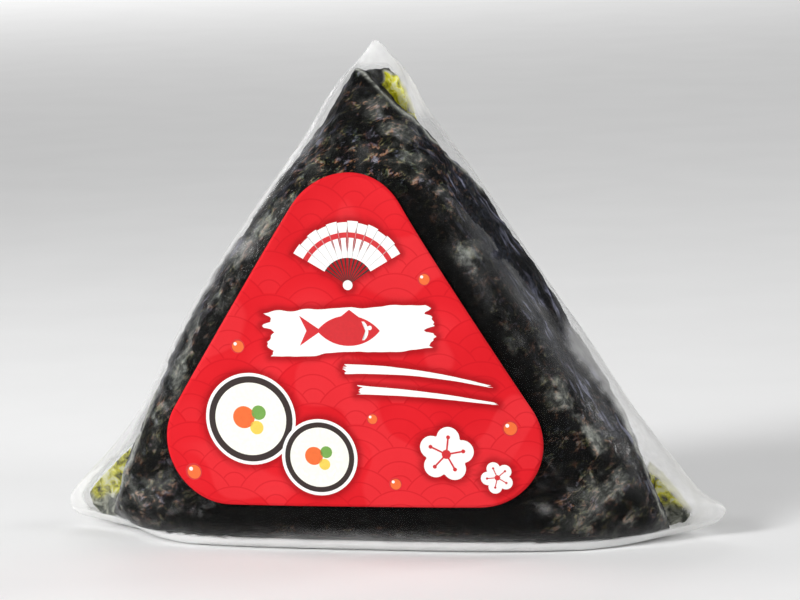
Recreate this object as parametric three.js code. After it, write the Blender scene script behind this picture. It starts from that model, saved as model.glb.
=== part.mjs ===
// A rice ball wrapped in seaweed, shut in a clear film pack with a paper label on its face.
// Millimetres, +Z up. The pack stands on its base with X along the base, and the labelled face
// looks along -Y. The origin is the middle of the base.
import * as THREE from "three";

// Driving sizes of the pack: its sides, carried on until they meet, are a triangle of this
// width and height
const PACK_WIDTH = 96.4;
const PACK_HEIGHT = 78.7;
const PACK_DEPTH = 32;
const FACE_CROWN = 0.8; // how far the middle of each face stands proud of its rim
const CROWN_SPREAD = [30, 24]; // how far the crown reaches along X and Z
const SHOULDER = 9; // how far a slanted side is drawn in before it meets a face
const SHOULDER_SQUARENESS = 3.2; // exponent of the shoulder's curve: 2 is round, more is squarer
const BASE_ROUNDING = 3.5; // radius along the front and back edges of the base
const POLE_HEIGHT = 26; // height of the point that each face closes on

// How late, on the way from mid-depth, a corner takes on its face radius and the skin turns to
// look along Y: the exponents of both blends
const FACE_RADIUS_BLEND = 6;
const FACE_TURN_BLEND = 8;

// Above this height the film leans in more steeply to its peak, like a gable
const GABLE_START = 50;
const GABLE_SQUEEZE = 0.92; // heights above the start are scaled by this
const GABLE_BLEND = 4;

// Driving sizes of the label
const LABEL_WIDTH = 58.4;
const LABEL_BOTTOM = 7;
const LABEL_HEIGHT = 50.6;
const LABEL_RADIUS = 9.8;
const LABEL_THICKNESS = 0.3;
const LABEL_GAP = 0.3; // clear of the film, which it is stuck to
const LABEL_HALF_ANGLE = THREE.MathUtils.degToRad(32.4); // half the angle between its slanted edges
const LABEL_OFF_CENTRE = -1; // it is stuck on slightly to the left and askew
const LABEL_TURN = THREE.MathUtils.degToRad(0.4);
const LABEL_POLE_SHARE = 0.4; // how far up the label its faces' middle point lies

// The outline's radius at each corner: sharp at mid-depth, where the film is folded flat, then
// rounder to foldDepth from there, and another radius on the faces
const CORNERS = {
  left: { foldRadius: 2.7, shoulderRadius: 7.5, faceRadius: 9.5, foldDepth: 9 },
  right: { foldRadius: 2, shoulderRadius: 4.5, faceRadius: 6.5, foldDepth: 9 },
  apex: { foldRadius: 0.5, shoulderRadius: 6.5, faceRadius: 6, foldDepth: 8 },
};

// The pack thins towards each corner. share is how much of the depth is gone at the very corner.
const PINCHES = [
  { at: [-49, 0], share: 0.4, spread: 18 },
  { at: [49, 0], share: 0.4, spread: 18 },
  { at: [0, 77], share: 0.8, spread: 16.5 },
];

// Where the film is pulled out of the plain form: a broad fin at each base corner, a small flat
// ear on the right one, a lift that carries both tips clear of the ground, a bulge on each
// slanted side, and both edges of the peak
const LEFT_TIP = -0.53 * PACK_WIDTH;
const RIGHT_TIP = 0.55 * PACK_WIDTH;
const PULLS = [
  { at: [-PACK_WIDTH / 2, 1.5], reach: [-5.3, 0, 0], spread: 17.2, thickness: 6 },
  { at: [PACK_WIDTH / 2, 2], reach: [5.2, 0, 0], spread: 22, thickness: 6 },
  { at: [RIGHT_TIP, 2], reach: [1.8, 0, 1], spread: 3.6, thickness: 2.2 },
  { at: [LEFT_TIP, 0], reach: [0, 0, 1.2], spread: 9, thickness: 30 },
  { at: [RIGHT_TIP, 0], reach: [0, 0, 1.2], spread: 9, thickness: 30 },
  { at: [-27.3, 37], reach: [-1.7, 0, 1], spread: 21, thickness: 30 },
  { at: [34, 26], reach: [0.95, 0, 0.6], spread: 16, thickness: 30 },
  { at: [3.7, 72], reach: [1.4, 0, 0.4], spread: 5.7, thickness: 30 },
  { at: [-5.5, 68.5], reach: [-0.75, 0, 0.1], spread: 6, thickness: 30 },
];

// Shallow waves of the film where it is drawn over uneven rice, flat on the base and under the label
const WAVES = [
  { along: [0.29, 0.18, 0.24], phase: 0.4, height: 0.26 },
  { along: [-0.22, 0.3, 0.35], phase: 1.9, height: 0.2 },
  { along: [0.5, -0.26, 0.12], phase: 3.1, height: 0.14 },
];
const WAVES_START = 7; // height above the base at which the waves are full
const LABEL_MARGIN = [1.5, 6]; // how far outside the label the waves start and are full

// How finely the surfaces are divided
const CORNER_STEPS = 8;
const SIDE_STEPS = 14;
const DEPTH_STEPS = 12;
const FACE_STEPS = 6;
const LABEL_CORNER_STEPS = 10;
const LABEL_SIDE_STEPS = 8;
const LABEL_FACE_STEPS = 5;

const { lerp, smoothstep } = THREE.MathUtils;
const HALF_DEPTH = PACK_DEPTH / 2;

// Corners of the pack in the X-Z plane, counterclockwise: left, right, apex
const PACK_TRIANGLE = [
  new THREE.Vector2(-PACK_WIDTH / 2, 0),
  new THREE.Vector2(PACK_WIDTH / 2, 0),
  new THREE.Vector2(0, PACK_HEIGHT),
];

// Corners of the label before they are rounded. Its top is the arc between the slanted edges.
const labelApex =
  LABEL_BOTTOM + LABEL_HEIGHT + LABEL_RADIUS * (1 / Math.sin(LABEL_HALF_ANGLE) - 1);
const baseHalfAngle = (Math.PI / 2 - LABEL_HALF_ANGLE) / 2;
const labelHalfBase = LABEL_WIDTH / 2 + LABEL_RADIUS * (1 / Math.tan(baseHalfAngle) - 1);
const LABEL_TRIANGLE = [
  new THREE.Vector2(-labelHalfBase, LABEL_BOTTOM),
  new THREE.Vector2(labelHalfBase, LABEL_BOTTOM),
  new THREE.Vector2(0, labelApex),
];

// The inward normal of the side that runs from corner i to the next
function inward(triangle, i) {
  const along = triangle[(i + 1) % 3].clone().sub(triangle[i]).normalize();
  return new THREE.Vector2(-along.y, along.x);
}

// How far a point lies inside a side of the triangle
function depthInside(triangle, i, x, z) {
  return inward(triangle, i).dot(new THREE.Vector2(x, z).sub(triangle[i]));
}

// The corners of a triangle whose sides are moved in, each by its own distance
function insetCorners(triangle, insets) {
  return triangle.map((corner, i) => {
    const before = (i + 2) % 3;
    const a = inward(triangle, before);
    const b = inward(triangle, i);
    const det = a.x * b.y - a.y * b.x;
    const alongA = a.dot(corner) + insets[before];
    const alongB = b.dot(corner) + insets[i];
    return new THREE.Vector2(
      (alongA * b.y - alongB * a.y) / det,
      (alongB * a.x - alongA * b.x) / det,
    );
  });
}

// The outline of a triangle with its sides moved in and its corners rounded, as points with their
// outward normals. Each outline has the same number of points, so that outlines join up.
function roundedOutline(triangle, insets, radii, cornerSteps, sideSteps) {
  const corners = insetCorners(triangle, insets);
  const arcs = corners.map((corner, i) => {
    const first = inward(triangle, (i + 2) % 3).negate();
    const last = inward(triangle, i).negate();
    const turn = Math.acos(THREE.MathUtils.clamp(first.dot(last), -1, 1));
    const bisector = first.clone().add(last).normalize().negate();
    const centre = corner.clone().addScaledVector(bisector, radii[i] / Math.cos(turn / 2));
    const start = first.angle();
    return Array.from({ length: cornerSteps + 1 }, (_, k) => {
      const angle = start + (turn * k) / cornerSteps;
      const normal = new THREE.Vector2(Math.cos(angle), Math.sin(angle));
      return { point: centre.clone().addScaledVector(normal, radii[i]), normal };
    });
  });
  return arcs.flatMap((arc, i) => {
    const from = arc[cornerSteps];
    const to = arcs[(i + 1) % 3][0];
    const straight = Array.from({ length: sideSteps - 1 }, (_, k) => ({
      point: from.point.clone().lerp(to.point, (k + 1) / sideSteps),
      normal: from.normal,
    }));
    return [...arc, ...straight];
  });
}

// A closed skin over rings of points, each ring joined to the next and the ends closed on two poles
function skin(firstPole, rings, lastPole) {
  const count = rings[0].length;
  const points = [firstPole, ...rings.flat(), lastPole];
  const at = (ring, k) => 1 + ring * count + (k % count);
  const faces = [];
  for (let k = 0; k < count; k++) {
    faces.push(0, at(0, k), at(0, k + 1));
    for (let ring = 0; ring < rings.length - 1; ring++) {
      faces.push(at(ring, k), at(ring + 1, k), at(ring + 1, k + 1));
      faces.push(at(ring, k), at(ring + 1, k + 1), at(ring, k + 1));
    }
    faces.push(points.length - 1, at(rings.length - 1, k + 1), at(rings.length - 1, k));
  }
  const geometry = new THREE.BufferGeometry().setFromPoints(points);
  geometry.setIndex(faces);
  geometry.computeVertexNormals();
  return geometry;
}

// How far a face stands proud of the rim at a place on it
function crown(x, z) {
  const away = Math.hypot(x / CROWN_SPREAD[0], (z - POLE_HEIGHT) / CROWN_SPREAD[1]);
  return FACE_CROWN * Math.exp(-away * away);
}

// How much of the waves a place has: none on the base, and none on the face under the label
function waveShare(x, y, z) {
  const aboveBase = smoothstep(z, 0, WAVES_START);
  const nearest = Math.min(...[0, 1, 2].map((i) => depthInside(LABEL_TRIANGLE, i, x, z)));
  const outsideLabel = smoothstep(-nearest, ...LABEL_MARGIN);
  return aboveBase * (y < 0 ? outsideLabel : 1);
}

function waveHeight(x, y, z) {
  return WAVES.reduce(
    (sum, { along, phase, height }) =>
      sum + height * Math.sin(along[0] * x + along[1] * y + along[2] * z + phase),
    0,
  );
}

// Heights above the gable's start are drawn down
function gableHeight(z) {
  const over = Math.max(0, z - GABLE_START);
  return z - ((1 - GABLE_SQUEEZE) * over * over) / (over + GABLE_BLEND);
}

// How much of the depth is left at a place after the corners' pinches
function depthLeft(x, z) {
  return PINCHES.reduce((left, { at, share, spread }) => {
    const away = Math.hypot(x - at[0], z - at[1]) / spread;
    return left * (1 - share * Math.exp(-away * away));
  }, 1);
}

// A point of the film: the plain form, with its crown, gable, pinches, waves and pulls
function filmPoint({ point, normal }, y, towardsFace) {
  const front = Math.sign(y);
  const outward = new THREE.Vector3(normal.x, 0, normal.y)
    .multiplyScalar(Math.sqrt(1 - towardsFace))
    .add(new THREE.Vector3(0, front * towardsFace, 0))
    .normalize();
  const z = gableHeight(point.y);
  const depth = (y + front * towardsFace * crown(point.x, z)) * depthLeft(point.x, z);
  const p = new THREE.Vector3(point.x, depth, z);
  p.addScaledVector(outward, waveShare(p.x, p.y, p.z) * waveHeight(p.x, p.y, p.z));
  for (const { at, reach, spread, thickness } of PULLS) {
    const away = Math.hypot(p.x - at[0], p.z - at[1]) / spread;
    const pull = Math.exp(-away * away - (y / thickness) ** 2);
    p.addScaledVector(new THREE.Vector3(...reach), pull);
  }
  return p;
}

// How far the slanted sides and the base are drawn in at a distance from mid-depth
function slantInset(fromMiddle) {
  const n = SHOULDER_SQUARENESS;
  return SHOULDER * (1 - (1 - (fromMiddle / HALF_DEPTH) ** n) ** (1 / n));
}

function baseInset(fromMiddle) {
  const past = Math.max(0, fromMiddle - (HALF_DEPTH - BASE_ROUNDING));
  return BASE_ROUNDING - Math.sqrt(Math.max(0, BASE_ROUNDING ** 2 - past ** 2));
}

// The radius of a corner at a distance from mid-depth: fold, then shoulder, then face
function cornerRadius({ foldRadius, shoulderRadius, faceRadius, foldDepth }, fromMiddle) {
  const opened = smoothstep(fromMiddle, -foldDepth, foldDepth) * 2 - 1;
  const shoulder = lerp(foldRadius, shoulderRadius, opened);
  return lerp(shoulder, faceRadius, (fromMiddle / HALF_DEPTH) ** FACE_RADIUS_BLEND);
}

// The ring of the film at one depth
function sideRing(y) {
  const fromMiddle = Math.abs(y);
  const slant = slantInset(fromMiddle);
  const outline = roundedOutline(
    PACK_TRIANGLE,
    [baseInset(fromMiddle), slant, slant],
    Object.values(CORNERS).map((corner) => cornerRadius(corner, fromMiddle)),
    CORNER_STEPS,
    SIDE_STEPS,
  );
  const towardsFace = (fromMiddle / HALF_DEPTH) ** FACE_TURN_BLEND;
  return outline.map((each) => filmPoint(each, y, towardsFace));
}

// A ring on the front (-1) or back (1) face, shrinking to the pole as share goes from 0 to 1
function faceRing(side, share) {
  const poleToSlant = depthInside(PACK_TRIANGLE, 1, 0, POLE_HEIGHT);
  const slant = lerp(SHOULDER, poleToSlant, share);
  const outline = roundedOutline(
    PACK_TRIANGLE,
    [lerp(BASE_ROUNDING, POLE_HEIGHT, share), slant, slant],
    Object.values(CORNERS).map(({ faceRadius }) => faceRadius * (1 - share)),
    CORNER_STEPS,
    SIDE_STEPS,
  );
  return outline.map((each) => filmPoint(each, side * HALF_DEPTH, 1));
}

function filmPack() {
  const faceShares = Array.from({ length: FACE_STEPS }, (_, k) => (k + 1) / (FACE_STEPS + 1));
  const sides = Array.from({ length: 2 * DEPTH_STEPS + 1 }, (_, k) => {
    const step = k - DEPTH_STEPS;
    return Math.sign(step) * HALF_DEPTH * (0.5 - 0.5 * Math.cos((Math.PI * step) / DEPTH_STEPS));
  });
  const rings = [
    ...faceShares.toReversed().map((share) => faceRing(-1, share)),
    ...sides.map(sideRing),
    ...faceShares.map((share) => faceRing(1, share)),
  ];
  const pole = { point: new THREE.Vector2(0, POLE_HEIGHT), normal: new THREE.Vector2(0, 1) };
  const geometry = skin(
    filmPoint(pole, -HALF_DEPTH, 1),
    rings,
    filmPoint(pole, HALF_DEPTH, 1),
  );
  const material = new THREE.MeshStandardMaterial({
    color: new THREE.Color(0.05, 0.055, 0.05),
    roughness: 0.25,
    metalness: 0,
  });
  const mesh = new THREE.Mesh(geometry, material);
  mesh.name = "film_pack";
  return mesh;
}

// The label follows the crowned face. Both of its faces are divided alike.
function label() {
  const poleZ = LABEL_BOTTOM + LABEL_HEIGHT * LABEL_POLE_SHARE;
  const poleToSlant = depthInside(LABEL_TRIANGLE, 1, 0, poleZ);
  const surface = (alongX, alongZ, offFace) => {
    const placed = new THREE.Vector2(alongX, alongZ)
      .rotateAround(new THREE.Vector2(0, poleZ), LABEL_TURN)
      .add(new THREE.Vector2(LABEL_OFF_CENTRE, 0));
    const y = -(HALF_DEPTH + crown(placed.x, placed.y)) * depthLeft(placed.x, placed.y);
    return new THREE.Vector3(placed.x, y - offFace, placed.y);
  };
  const ring = (share, offFace) =>
    roundedOutline(
      LABEL_TRIANGLE,
      [(poleZ - LABEL_BOTTOM) * share, poleToSlant * share, poleToSlant * share],
      LABEL_TRIANGLE.map(() => LABEL_RADIUS * (1 - share)),
      LABEL_CORNER_STEPS,
      LABEL_SIDE_STEPS,
    ).map(({ point }) => surface(point.x, point.y, offFace));
  const shares = Array.from({ length: LABEL_FACE_STEPS }, (_, k) => k / LABEL_FACE_STEPS);
  const outer = LABEL_GAP + LABEL_THICKNESS;
  const rings = [
    ...shares.toReversed().map((share) => ring(share, outer)),
    ...shares.map((share) => ring(share, LABEL_GAP)),
  ];
  const geometry = skin(surface(0, poleZ, outer), rings, surface(0, poleZ, LABEL_GAP));
  const material = new THREE.MeshStandardMaterial({
    color: new THREE.Color(0.85, 0.02, 0.028),
    roughness: 0.4,
    metalness: 0,
  });
  const mesh = new THREE.Mesh(geometry, material);
  mesh.name = "label";
  return mesh;
}

const pack = new THREE.Group();
pack.add(filmPack(), label());
export default pack;
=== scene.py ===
import math

import bpy
import numpy as np
from mathutils import Matrix, Vector
from mathutils.kdtree import KDTree


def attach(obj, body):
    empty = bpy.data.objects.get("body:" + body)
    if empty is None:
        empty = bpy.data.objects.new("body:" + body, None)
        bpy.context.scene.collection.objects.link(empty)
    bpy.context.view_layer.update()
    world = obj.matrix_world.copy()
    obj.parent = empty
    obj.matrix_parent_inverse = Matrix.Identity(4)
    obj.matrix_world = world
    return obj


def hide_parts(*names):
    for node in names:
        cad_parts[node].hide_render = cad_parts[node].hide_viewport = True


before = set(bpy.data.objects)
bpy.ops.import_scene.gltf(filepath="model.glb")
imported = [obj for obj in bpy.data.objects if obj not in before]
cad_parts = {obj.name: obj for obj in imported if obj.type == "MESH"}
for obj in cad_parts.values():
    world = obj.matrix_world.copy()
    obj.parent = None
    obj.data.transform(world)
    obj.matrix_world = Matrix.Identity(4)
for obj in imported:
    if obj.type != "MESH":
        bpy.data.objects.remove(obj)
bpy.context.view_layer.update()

# A rice ball wrapped in seaweed, shut in a clear film pack with a paper label on its face.
# Forms are worked out in millimetres and written to meshes in metres. X runs along the base,
# the labelled face looks along -Y, and the pack stands on z = 0.
MM = 0.001

# The film's sharp triangle, seen from the front, and how the pack is shaped in depth
FILM = {
    "width": 96.4,
    "height": 78.55,
    "depth": 32.0,
    "crown": 0.8,
    "shoulder": 9.0,
    "squareness": 3.2,  # exponent of the shoulder's curve: 2 is round, more is squarer
    "base_rounding": 1.2,
    "clearance": (0.0, 0.0, 0.0),  # how far the base, right and left sides are moved in
    "taper": 0.0,  # how much further the slanted sides are in for each unit of depth to the back
    "corners": {  # radii at mid-depth, on the shoulder and on the faces, and the fold's depth
        "left": (2.7, 7.5, 9.5, 9.0),
        "right": (2.0, 4.5, 6.5, 9.0),
        "apex": (0.5, 6.5, 6.0, 8.0),
    },
    "pinches": (((-49, 0), 0.4, 18), ((49, 0), 0.4, 18), ((0, 77), 0.8, 16.5)),
    "pulls": (  # place, reach, spread and thickness
        ((-48.2, 1.5), (-5.3, 0, 0), 17.2, 6),
        ((48.2, 2), (5.2, 0, 0), 22, 6),
        ((53.02, 2), (1.8, 0, 1), 3.6, 2.2),
        ((-51.09, 0), (0, 0, 1.2), 9, 30),
        ((53.02, 0), (0, 0, 1.2), 9, 30),
        ((-27.3, 37), (-1.7, 0, 1.0), 21, 30),
        ((34, 26), (0.95, 0, 0.6), 16, 30),
        ((3.7, 72), (1.4, 0, 0.4), 5.7, 30),
        ((-5.5, 68.5), (-0.75, 0, 0.1), 6, 30),
    ),
}
POLE_HEIGHT = 26.0
FACE_SPACING = 1.15  # above 1, a face's rings lie closer to each other towards its pole
GABLE_START, GABLE_SQUEEZE, GABLE_BLEND = 50.0, 0.92, 4.0

# The seaweed lies a little inside the film. Its shoulders are rounder, and its corners stop
# short of the film's.
SEAWEED = {
    **FILM,
    "depth": 31.0,
    "shoulder": 9.8,
    "squareness": 2.7,
    "base_rounding": 4.5,
    "clearance": (1.0, 0.3, 0.6),
    "taper": 0.12,
    "corners": {
        "left": (2.4, 5.0, 7.0, 9.0),
        "right": (1.4, 3.6, 5.0, 9.0),
        "apex": (0.8, 3.0, 4.0, 8.0),
    },
    "pinches": (((-49, 0), 0.42, 17), ((49, 0), 0.42, 17), ((0, 77), 0.78, 16.0)),
    "pulls": (
        ((48.2, 2), (1.2, 0, 0), 14, 6),
        ((-27.3, 37), (-1.6, 0, 1.0), 21, 30),
        ((28, 37), (1.0, 0, 0.6), 22, 30),
        ((41, 15), (0.9, 0, 0.5), 11, 30),
        ((13, 59), (1.1, 0, 0.6), 7, 30),
        ((-8, 64), (0.5, 0, -0.3), 6, 30),
    ),
}
# Planes where the seaweed is folded over at its corners: outward direction, distance from the
# origin along it, and the way in which what lies past the plane is brought back. Each slants
# through the depth, so that less is left towards the back.
SEAWEED_FOLDS = {
    "apex": ((0.694, 0.271, 0.72), 50.2, (1, 0, 1)),
    "top": ((0.0, 0.154, 1.0), 71.7, (0, 0, 1)),
    "left": ((-0.918, -0.151, 0.395), 41.4, (1, 0, 0)),
    "right": ((0.937, 0.27, 0.349), 42.1, (1, 0, 0)),
}
FOLD_SOFTNESS = 0.35
TAB_HALF_THICKNESS = 0.09
# Single layers of seaweed that stick out past the folds: outlines in X and Z, and depth
SEAWEED_TABS = {
    "apex": (((-2.2, 71.2), (0.2, 71.9), (2.4, 71.9), (3.8, 70.6), (5.0, 68.6), (6.0, 66.3),
              (6.6, 63.8), (4.6, 62.8), (0.0, 66.5), (-2.4, 69.5)), 0.5),
    "left": (((-41.0, 12.2), (-44.1, 9.2), (-46.5, 6.8), (-48.0, 5.0), (-47.6, 3.6), (-46.2, 1.6),
              (-42.0, 1.2), (-38.0, 5.0)), 0.0),
    "right": (((41.6, 11.2), (43.8, 9.4), (45.4, 7.4), (47.0, 5.2), (48.1, 3.8), (46.9, 1.9),
               (44.0, 1.2), (39.0, 6.0)), 1.0),
}

LABEL_WIDTH, LABEL_BOTTOM, LABEL_HEIGHT, LABEL_RADIUS = 58.4, 7.0, 50.6, 9.8
LABEL_THICKNESS, LABEL_GAP = 0.3, 0.3
LABEL_HALF_ANGLE = math.radians(32.4)
LABEL_OFF_CENTRE, LABEL_TURN = -1.0, math.radians(0.4)
LABEL_MIDDLE = LABEL_BOTTOM + LABEL_HEIGHT * 0.4

# Where the photo was taken from, and its frame
IMAGE_WIDTH, IMAGE_HEIGHT = 800, 600
CAMERA_AZIMUTH, CAMERA_ELEVATION, CAMERA_ROLL = 13.0, 8.5, 1.55
CAMERA_DISTANCE = 600.0
MM_PER_PIXEL = 0.1545
AIM_POINT, AIM_PIXEL = (0, 0, 33), (379.9, 319.7)


# Forms

def smoothstep(x, low, high):
    """A soft step from 0 at low to 1 at high."""
    t = np.clip((x - low) / (high - low), 0, 1)
    return t * t * (3 - 2 * t)


def inward_normals(triangle):
    along = np.roll(triangle, -1, 0) - triangle
    along /= np.linalg.norm(along, axis=1)[:, None]
    return np.stack([-along[:, 1], along[:, 0]], 1)


def sharp_triangle(form):
    half_width = form["width"] / 2
    return np.array([(-half_width, 0), (half_width, 0), (0, form["height"])], float)


def rounded_outline(triangle, insets, radii, corner_steps, side_steps):
    """Points and outward normals of a triangle with its sides moved in and its corners rounded."""
    normals = inward_normals(triangle)
    arcs = []
    for i in range(3):
        before = (i + 2) % 3
        sides = np.array([normals[before], normals[i]])
        reach = sides @ triangle[i] + [insets[before], insets[i]]
        corner = np.linalg.solve(sides, reach)
        first, last = -normals[before], -normals[i]
        turn = math.acos(float(np.clip(first @ last, -1, 1)))
        bisector = -(first + last) / np.linalg.norm(first + last)
        centre = corner + bisector * radii[i] / math.cos(turn / 2)
        angles = math.atan2(first[1], first[0]) + turn * np.linspace(0, 1, corner_steps + 1)
        outward = np.stack([np.cos(angles), np.sin(angles)], 1)
        arcs.append((centre + outward * radii[i], outward))
    points, outwards = [], []
    share = np.arange(1, side_steps)[:, None] / side_steps
    for i, (arc, outward) in enumerate(arcs):
        start, end = arc[-1], arcs[(i + 1) % 3][0][0]
        points += [arc, start * (1 - share) + end * share]
        outwards += [outward, np.repeat(outward[-1:], side_steps - 1, 0)]
    return np.concatenate(points), np.concatenate(outwards)


def crown(form, x, z):
    """How far a face bulges out in the middle."""
    return form["crown"] * np.exp(-((x / 30) ** 2) - ((z - POLE_HEIGHT) / 24) ** 2)


def gable_height(z):
    """Heights as they end up where the gable is squeezed a little lower."""
    over = np.maximum(0, z - GABLE_START)
    return z - (1 - GABLE_SQUEEZE) * over * over / (over + GABLE_BLEND)


def depth_left(form, x, z):
    """The share of the depth that the pinches towards the corners leave."""
    left = np.ones_like(x)
    for (at_x, at_z), share, spread in form["pinches"]:
        away = np.hypot(x - at_x, z - at_z) / spread
        left = left * (1 - share * np.exp(-away * away))
    return left


def form_ring(form, insets, radii, y, towards_face, steps):
    """One ring of a form at depth y: rounded, crowned as far as it is on a face, and pulled."""
    insets = np.add(insets, form["clearance"])
    flat, _ = rounded_outline(sharp_triangle(form), insets, radii, *steps)
    x, z = flat[:, 0], gable_height(flat[:, 1])
    depth = (y + np.sign(y) * towards_face * crown(form, x, z)) * depth_left(form, x, z)
    points = np.stack([x, depth, z], 1)
    for (at_x, at_z), reach, spread, thickness in form["pulls"]:
        away = np.hypot(points[:, 0] - at_x, points[:, 2] - at_z) / spread
        pull = np.exp(-away * away - (points[:, 1] / thickness) ** 2)
        points = points + np.outer(pull, reach)
    return points


def form_grid(form, corner_steps, side_steps, depth_steps, face_steps):
    """Rings of a form from the front face's pole to the back one's, as (rings, columns, 3)."""
    half_depth = form["depth"] / 2
    steps = (corner_steps, side_steps)
    corners = form["corners"].values()
    rounding, shoulder, n = form["base_rounding"], form["shoulder"], form["squareness"]

    def side_ring(y):
        away = abs(y) / half_depth
        past = max(0.0, abs(y) - (half_depth - rounding))
        base = rounding - math.sqrt(max(0.0, rounding ** 2 - past ** 2))
        slant = shoulder * (1 - (1 - away ** n) ** (1 / n)) + form["taper"] * max(0, y)
        radii = []
        for fold, on_shoulder, on_face, fold_depth in corners:
            opened = float(smoothstep(abs(y), -fold_depth, fold_depth)) * 2 - 1
            radius = fold + (on_shoulder - fold) * opened
            radii.append(radius + (on_face - radius) * away ** 6)
        return form_ring(form, (base, slant, slant), radii, y, away ** 8, steps)

    def face_ring(side, share):
        triangle = sharp_triangle(form)
        to_slant = inward_normals(triangle)[1] @ (np.array([0, POLE_HEIGHT]) - triangle[1])
        clear_base, clear_slant, _ = form["clearance"]
        base = rounding + (POLE_HEIGHT - clear_base - rounding) * share
        rim = shoulder + form["taper"] * half_depth * max(0, side)
        slant = rim + (to_slant - clear_slant - rim) * share
        radii = [on_face * (1 - share) for _, _, on_face, _ in corners]
        return form_ring(form, (base, slant, slant), radii, side * half_depth, 1.0, steps)

    shares = (np.arange(face_steps) + 0.5) / face_steps
    shares = 1 - (1 - shares) ** FACE_SPACING
    stations = np.arange(-depth_steps, depth_steps + 1) / depth_steps
    depths = np.sign(stations) * half_depth * (0.5 - 0.5 * np.cos(np.pi * stations))
    rings = [face_ring(-1, share) for share in shares[::-1]]
    rings += [side_ring(y) for y in depths]
    rings += [face_ring(1, share) for share in shares]
    return np.array(rings)


# Noise, the same on every run

def hashed(cells, seed):
    """A random number from 0 to 1 for each whole-numbered cell."""
    mask = 0xFFFFFFFF
    h = cells[..., 0] * 73856093 ^ cells[..., 1] * 19349663 ^ cells[..., 2] * 83492791
    h = (h ^ (seed * 2654435761)) & mask
    for _ in range(2):
        h = ((h >> 16) ^ h) * 0x45D9F3B & mask
    return ((h >> 16) ^ h) / mask


def value_noise(points, size, seed):
    """Smooth noise from -1 to 1, with features of the given size."""
    scaled = points / size
    cell = np.floor(scaled).astype(np.int64)
    t = scaled - cell
    t = t * t * t * (t * (t * 6 - 15) + 10)
    total = np.zeros(len(points))
    for corner in np.ndindex(2, 2, 2):
        weight = np.prod(np.where(corner, t, 1 - t), axis=1)
        total += weight * hashed(cell + corner, seed)
    return total * 2 - 1


def layered_noise(points, size, seed, layers=3):
    """Noise with finer and lower layers on top of each other."""
    total, height = np.zeros(len(points)), 1.0
    for layer in range(layers):
        total += height * value_noise(points, size / 2 ** layer, seed + layer)
        height *= 0.5
    return total


def ridges(points, size, seed, sharpness):
    """Thin raised lines, like the creases of a crumpled sheet, from 0 to 1."""
    return (1 - np.abs(value_noise(points, size, seed))) ** sharpness


def cell_distance(points, size, seed):
    """Distance to the nearest of a set of scattered points, in units of size."""
    scaled = points / size
    cell = np.floor(scaled).astype(np.int64)
    nearest = np.full(len(points), 9.0)
    for offset in np.ndindex(3, 3, 3):
        there = cell + np.array(offset) - 1
        jitter = np.stack([hashed(there, seed + axis) for axis in range(3)], 1)
        nearest = np.minimum(nearest, np.linalg.norm(there + jitter - scaled, axis=1))
    return nearest


# Meshes

def grid_faces(ring_count, column_count):
    """Faces of a closed skin over rings, with a pole before the first and after the last."""
    ring, column = np.meshgrid(np.arange(ring_count - 1), np.arange(column_count), indexing="ij")
    after = (column + 1) % column_count
    near, far = 1 + ring * column_count, 1 + (ring + 1) * column_count
    quads = np.stack([near + column, far + column, far + after, near + after], -1).reshape(-1, 4)
    columns, afters = column[0], after[0]
    last = 1 + (ring_count - 1) * column_count
    end = 1 + ring_count * column_count
    first_fan = np.stack([np.zeros_like(columns), 1 + columns, 1 + afters], 1)
    last_fan = np.stack([np.full_like(columns, end), last + afters, last + columns], 1)
    return quads, np.concatenate([first_fan, last_fan])


def skin(rings):
    """Points and faces of a closed skin over an array of rings."""
    first, last = rings[0].mean(0), rings[-1].mean(0)
    points = np.concatenate([[first], rings.reshape(-1, 3), [last]])
    return points, grid_faces(*rings.shape[:2])


def point_normals(points, face_sets):
    normals = np.zeros_like(points)
    for faces in face_sets:
        across = points[faces[:, 2]] - points[faces[:, 0]]
        other = points[faces[:, -1]] - points[faces[:, 1]]
        face_normals = np.cross(across, other)
        for k in range(faces.shape[1]):
            np.add.at(normals, faces[:, k], face_normals)
    return normals / np.linalg.norm(normals, axis=1)[:, None]


def make_piece(name, points, face_sets, slot, ink=None, **attributes):
    """A smooth mesh in metres that rides on the pack, in its slot's material or in an ink."""
    mesh = bpy.data.meshes.new(name)
    faces = [face for faces in face_sets for face in faces.tolist()]
    mesh.from_pydata((points * MM).tolist(), [], faces)
    for attribute, values in attributes.items():
        layer = mesh.attributes.new(attribute, "FLOAT", "POINT")
        layer.data.foreach_set("value", np.asarray(values, np.float32))
    mesh.shade_smooth()
    mesh.materials.append(INKS[ink] if ink else MATERIALS[slot])
    piece = bpy.data.objects.new(name, mesh)
    bpy.context.scene.collection.objects.link(piece)
    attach(piece, "root")
    return piece


# Material helpers

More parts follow.
